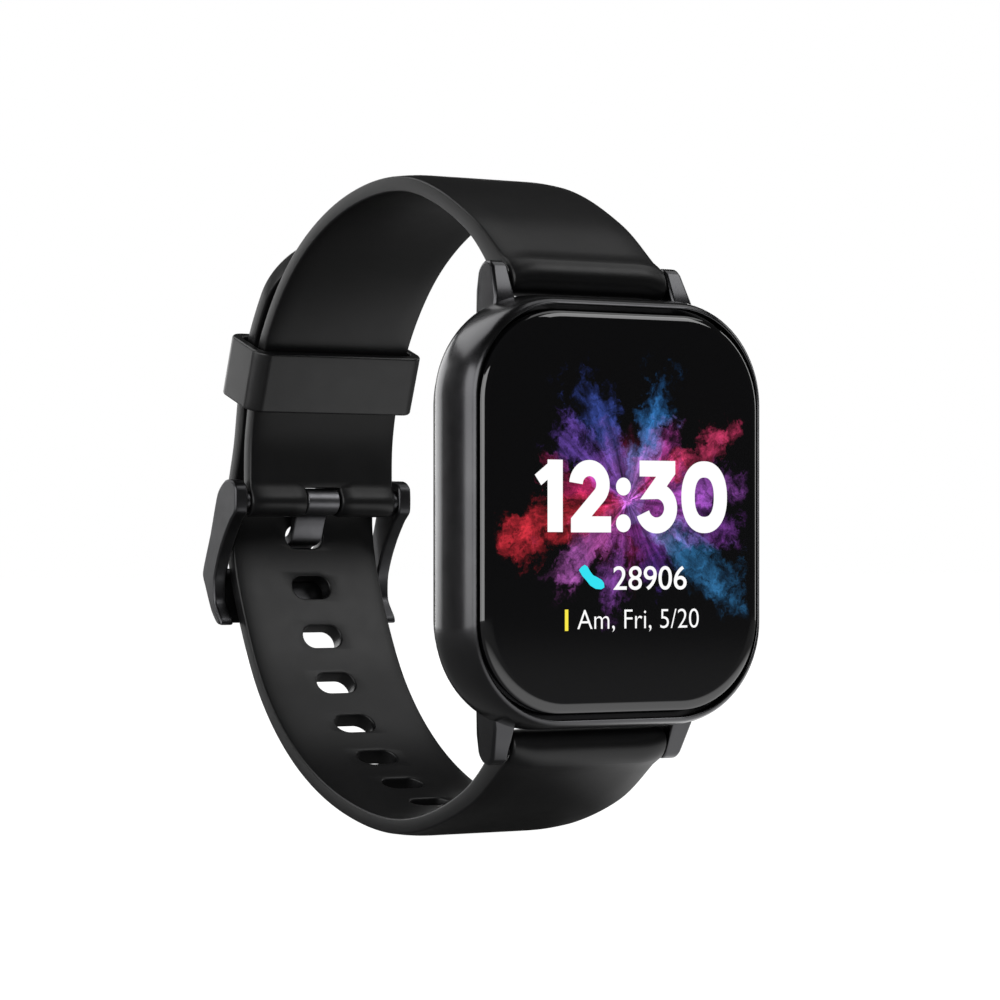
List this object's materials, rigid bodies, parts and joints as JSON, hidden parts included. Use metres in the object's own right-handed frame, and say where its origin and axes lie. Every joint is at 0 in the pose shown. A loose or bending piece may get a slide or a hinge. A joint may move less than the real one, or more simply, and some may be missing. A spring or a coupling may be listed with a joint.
{
  "type": "smartwatch",
  "caption": "Rectangular smartwatch, black case with round corners, buckled silicone band with loose keeper, pin buckle, side button and rear sensor cover.",
  "frame": {"origin": "centre of the wrist opening of the closed band", "axes": "+X to 3 o'clock, out of the button side; +Z to 12 o'clock; the display faces -Y"},
  "size_m": [0.0394, 0.0731, 0.0745],
  "materials": {
    "case_black": "smooth black coating, semi-gloss",
    "button_black": "smooth black coating, semi-gloss",
    "cover_glass": "black-backed toughened glass, polished, rounded edge",
    "sensor_glass": "dark tinted lens, polished",
    "display": "lit panel",
    "strap_black": "soft-touch moulded silicone, satin",
    "buckle_black": "black plated metal, semi-gloss",
    "cover_black": "fine moulded texture",
    "inner_plastic": "plain moulded",
    "board": "green solder mask",
    "film": "amber polyimide film",
    "pouch": "foil laminate",
    "shield": "tinned sheet",
    "steel": "turned and drawn stainless steel",
    "gold": "gold plated contacts",
    "seal": "matt elastomer"
  },
  "bodies": {
    "case": {"mid_case": "case_black", "cover_glass": "cover_glass", "glass_glue": "seal", "display_panel": "display", "inner_frame": "inner_plastic", "display_flex": "film", "main_board": "board", "processor": "inner_plastic", "radio_shield": "shield", "tact_switch": "inner_plastic", "battery": "pouch", "motor_can": "shield", "back_cover": "cover_black", "cover_gasket": "seal", "sensor_window": "sensor_glass", "sensor_board": "board", "cover_screw_top_left": "steel", "cover_screw_top_right": "steel", "cover_screw_bottom_left": "steel", "cover_screw_bottom_right": "steel", "charge_pin_left": "gold", "charge_pin_right": "gold", "button_spring": "steel", "button_seal": "seal", "upper_bar_tube": "steel", "upper_bar_spring": "steel", "lower_bar_tube": "steel", "lower_bar_spring": "steel"},
    "button": {"button_cap": "button_black"},
    "rotor": {"motor_rotor": "steel"},
    "upper_bar_tip_left": {"upper_bar_tip_left": "steel"},
    "upper_bar_tip_right": {"upper_bar_tip_right": "steel"},
    "lower_bar_tip_left": {"lower_bar_tip_left": "steel"},
    "lower_bar_tip_right": {"lower_bar_tip_right": "steel"},
    "upper_strap": {"buckle_strap": "strap_black"},
    "rear_band": {"buckle_pin": "buckle_black"},
    "lower_strap": {"hole_strap": "strap_black"},
    "keeper": {"keeper": "strap_black"},
    "frame": {"buckle_frame": "buckle_black"},
    "tongue": {"buckle_tongue": "buckle_black"}
  },
  "joints": [
    {"name": "button_press", "type": "slide", "parent": "case", "child": "button", "axis": [1, 0, 0], "range_m": [-0.0005, 0], "stiffness_N_per_m": 2000, "deforming": ["button_spring"]},
    {"name": "motor_spin", "type": "hinge", "parent": "case", "child": "rotor", "pos_m": [-0.0062, -0.0319, 0.0162], "axis": [1, 0, 0], "continuous": true},
    {"name": "upper_tip_left_slide", "type": "slide", "parent": "case", "child": "upper_bar_tip_left", "axis": [1, 0, 0], "range_m": [0, 0.0009], "stiffness_N_per_m": 400, "deforming": ["upper_bar_spring"]},
    {"name": "upper_tip_right_slide", "type": "slide", "parent": "case", "child": "upper_bar_tip_right", "axis": [1, 0, 0], "range_m": [-0.0009, 0], "stiffness_N_per_m": 400, "deforming": ["upper_bar_spring"]},
    {"name": "lower_tip_left_slide", "type": "slide", "parent": "case", "child": "lower_bar_tip_left", "axis": [1, 0, 0], "range_m": [0, 0.0009], "stiffness_N_per_m": 400, "deforming": ["lower_bar_spring"]},
    {"name": "lower_tip_right_slide", "type": "slide", "parent": "case", "child": "lower_bar_tip_right", "axis": [1, 0, 0], "range_m": [-0.0009, 0], "stiffness_N_per_m": 400, "deforming": ["lower_bar_spring"]},
    {"name": "band_sway", "type": "hinge", "parent": "case", "child": "upper_strap", "pos_m": [0, -0.0306, 0.0254], "axis": [1, 0, 0], "range_deg": [-6, 6], "stiffness_Nm_per_rad": 0.6},
    {"name": "upper_flex", "type": "hinge", "parent": "upper_strap", "child": "rear_band", "pos_m": [0, -0.004, 0.0368], "axis": [1, 0, 0], "range_deg": [-4.5, 4.5], "deforming": ["buckle_strap"]},
    {"name": "lower_flex", "type": "hinge", "parent": "rear_band", "child": "lower_strap", "pos_m": [0, -0.004, -0.0346], "axis": [1, 0, 0], "range_deg": [-4.5, 4.5], "deforming": ["hole_strap"]},
    {"name": "keeper_slide", "type": "hinge", "parent": "rear_band", "child": "keeper", "pos_m": [0, -0.00498, 0.00535], "axis": [1, 0, 0], "range_deg": [-12, 12]},
    {"name": "buckle_lift", "type": "hinge", "parent": "rear_band", "child": "frame", "pos_m": [0, 0.027, 0.0019], "axis": [1, 0, 0], "range_deg": [0, 8]},
    {"name": "tongue_lift", "type": "hinge", "parent": "rear_band", "child": "tongue", "pos_m": [0, 0.027, 0.0019], "axis": [1, 0, 0], "range_deg": [0, 8]}
  ],
  "couplings": [
    {"joint": "upper_flex", "follows": "band_sway", "ratio": -0.7115},
    {"joint": "lower_flex", "follows": "band_sway", "ratio": 0.7115},
    {"joint": "tongue_lift", "follows": "buckle_lift", "ratio": 1}
  ]
}
